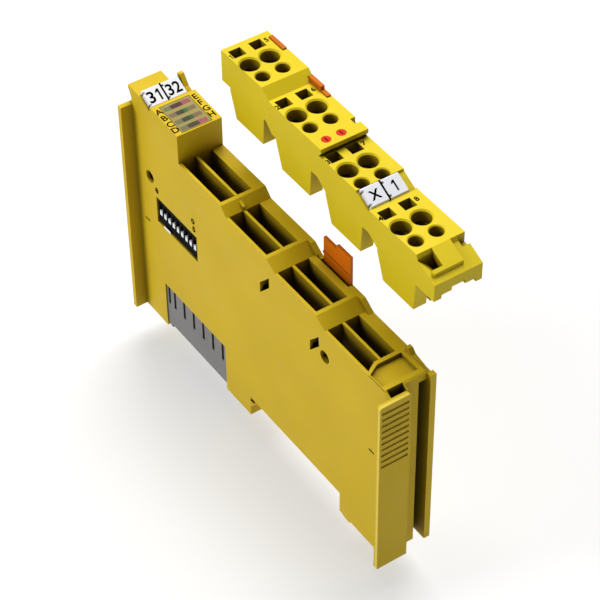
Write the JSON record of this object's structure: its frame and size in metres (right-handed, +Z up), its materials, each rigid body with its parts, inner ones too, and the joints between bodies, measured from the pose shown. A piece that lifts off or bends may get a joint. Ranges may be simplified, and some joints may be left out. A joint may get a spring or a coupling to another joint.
{
  "type": "safety input module",
  "caption": "Slim rail-mounted safety input module with stepped terminal pockets, address switch and status window; its plug-in spring terminal connector is lifted off beside it.",
  "frame": {"origin": "Middle of the rail mount: half the module's width, the middle of the rail recess, and the plane of the rail's top face.", "axes": "+Z points up, away from the rail. +Y runs along the module from the grip end to the head with the status window. +X runs along the rail towards the side on which the connector lies."},
  "size_m": [0.0269, 0.1, 0.0839],
  "materials": {
    "yellow_body": "fine moulded satin",
    "connector_yellow": "fine moulded satin",
    "latch_yellow": "moulded",
    "window": "smooth, slightly clouded",
    "lens_red": "clouded clear",
    "lens_green": "clouded clear",
    "lens_dark": "clouded clear",
    "lamps": "moulded",
    "board": "solder mask",
    "board_parts": "moulded",
    "switch_black": "moulded",
    "slider_white": "moulded",
    "bus_grey": "moulded",
    "contact_metal": "plated, bright",
    "spring_steel": "drawn",
    "tag_white": "smooth",
    "orange": "moulded",
    "key_red": "moulded"
  },
  "bodies": {
    "module": {"module_housing": "yellow_body", "far_side_cover": "yellow_body", "led_window": "window", "led_lens_a": "lens_red", "led_lens_b": "lens_green", "led_lens_c": "lens_green", "led_lens_d": "lens_dark", "led_lens_e": "lens_red", "led_lens_f": "lens_green", "led_lens_g": "lens_green", "led_lens_h": "lens_red", "status_leds": "lamps", "circuit_board": "board", "board_components": "board_parts", "dip_switch_body": "switch_black", "bus_contact_carrier": "bus_grey", "bus_contacts": "contact_metal", "side_contact_1": "contact_metal", "side_contact_2": "contact_metal", "socket_contacts": "contact_metal", "marker_tag_left": "tag_white", "marker_tag_right": "tag_white"},
    "tab": {"release_tab": "orange"},
    "latch": {"rail_latch": "latch_yellow"},
    "slider_1": {"dip_slider_1": "slider_white"},
    "slider_2": {"dip_slider_2": "slider_white"},
    "slider_3": {"dip_slider_3": "slider_white"},
    "slider_4": {"dip_slider_4": "slider_white"},
    "slider_5": {"dip_slider_5": "slider_white"},
    "slider_6": {"dip_slider_6": "slider_white"},
    "slider_7": {"dip_slider_7": "slider_white"},
    "slider_8": {"dip_slider_8": "slider_white"},
    "slider_9": {"dip_slider_9": "slider_white"},
    "connector": {"connector_housing": "connector_yellow", "current_bars": "contact_metal", "clamp_springs": "spring_steel", "connector_tag_left": "tag_white", "connector_tag_right": "tag_white"},
    "strip": {"connector_strip": "orange"},
    "key_left": {"coding_key_left": "key_red"},
    "key_right": {"coding_key_right": "key_red"}
  },
  "joints": [
    {"name": "tab_lift", "type": "slide", "parent": "module", "child": "tab", "axis": [0, 0, 1], "range_m": [0, 0.0016], "stiffness_N_per_m": 20},
    {"name": "latch_draw", "type": "slide", "parent": "module", "child": "latch", "axis": [0, -1, 0], "range_m": [0, 0.0016]},
    {"name": "slider_1_set", "type": "slide", "parent": "module", "child": "slider_1", "axis": [0, 0, 1], "range_m": [0, 0.0018]},
    {"name": "slider_2_set", "type": "slide", "parent": "module", "child": "slider_2", "axis": [0, 0, 1], "range_m": [0, 0.0018]},
    {"name": "slider_3_set", "type": "slide", "parent": "module", "child": "slider_3", "axis": [0, 0, 1], "range_m": [0, 0.0018]},
    {"name": "slider_4_set", "type": "slide", "parent": "module", "child": "slider_4", "axis": [0, 0, 1], "range_m": [0, 0.0018]},
    {"name": "slider_5_set", "type": "slide", "parent": "module", "child": "slider_5", "axis": [0, 0, 1], "range_m": [0, 0.0018]},
    {"name": "slider_6_set", "type": "slide", "parent": "module", "child": "slider_6", "axis": [0, 0, 1], "range_m": [0, 0.0018]},
    {"name": "slider_7_set", "type": "slide", "parent": "module", "child": "slider_7", "axis": [0, 0, 1], "range_m": [0, 0.0018]},
    {"name": "slider_8_set", "type": "slide", "parent": "module", "child": "slider_8", "axis": [0, 0, 1], "range_m": [0, 0.0018]},
    {"name": "slider_9_set", "type": "slide", "parent": "module", "child": "slider_9", "axis": [0, 0, 1], "range_m": [0, 0.0018]},
    {"name": "connector_shift", "type": "slide", "parent": "module", "child": "connector", "axis": [1, 0, 0], "range_m": [-0.012, 0]},
    {"name": "strip_lift", "type": "slide", "parent": "connector", "child": "strip", "axis": [0, 0, 1], "range_m": [0, 0.0015]},
    {"name": "key_left_turn", "type": "hinge", "parent": "connector", "child": "key_left", "pos_m": [0.00905, 0.00867, 0.075], "axis": [0, 0, 1], "range_deg": [0, 270]},
    {"name": "key_right_turn", "type": "hinge", "parent": "connector", "child": "key_right", "pos_m": [0.01285, 0.00867, 0.075], "axis": [0, 0, 1], "range_deg": [0, 270]}
  ],
  "couplings": [
    {"joint": "latch_draw", "follows": "tab_lift", "ratio": 1}
  ]
}
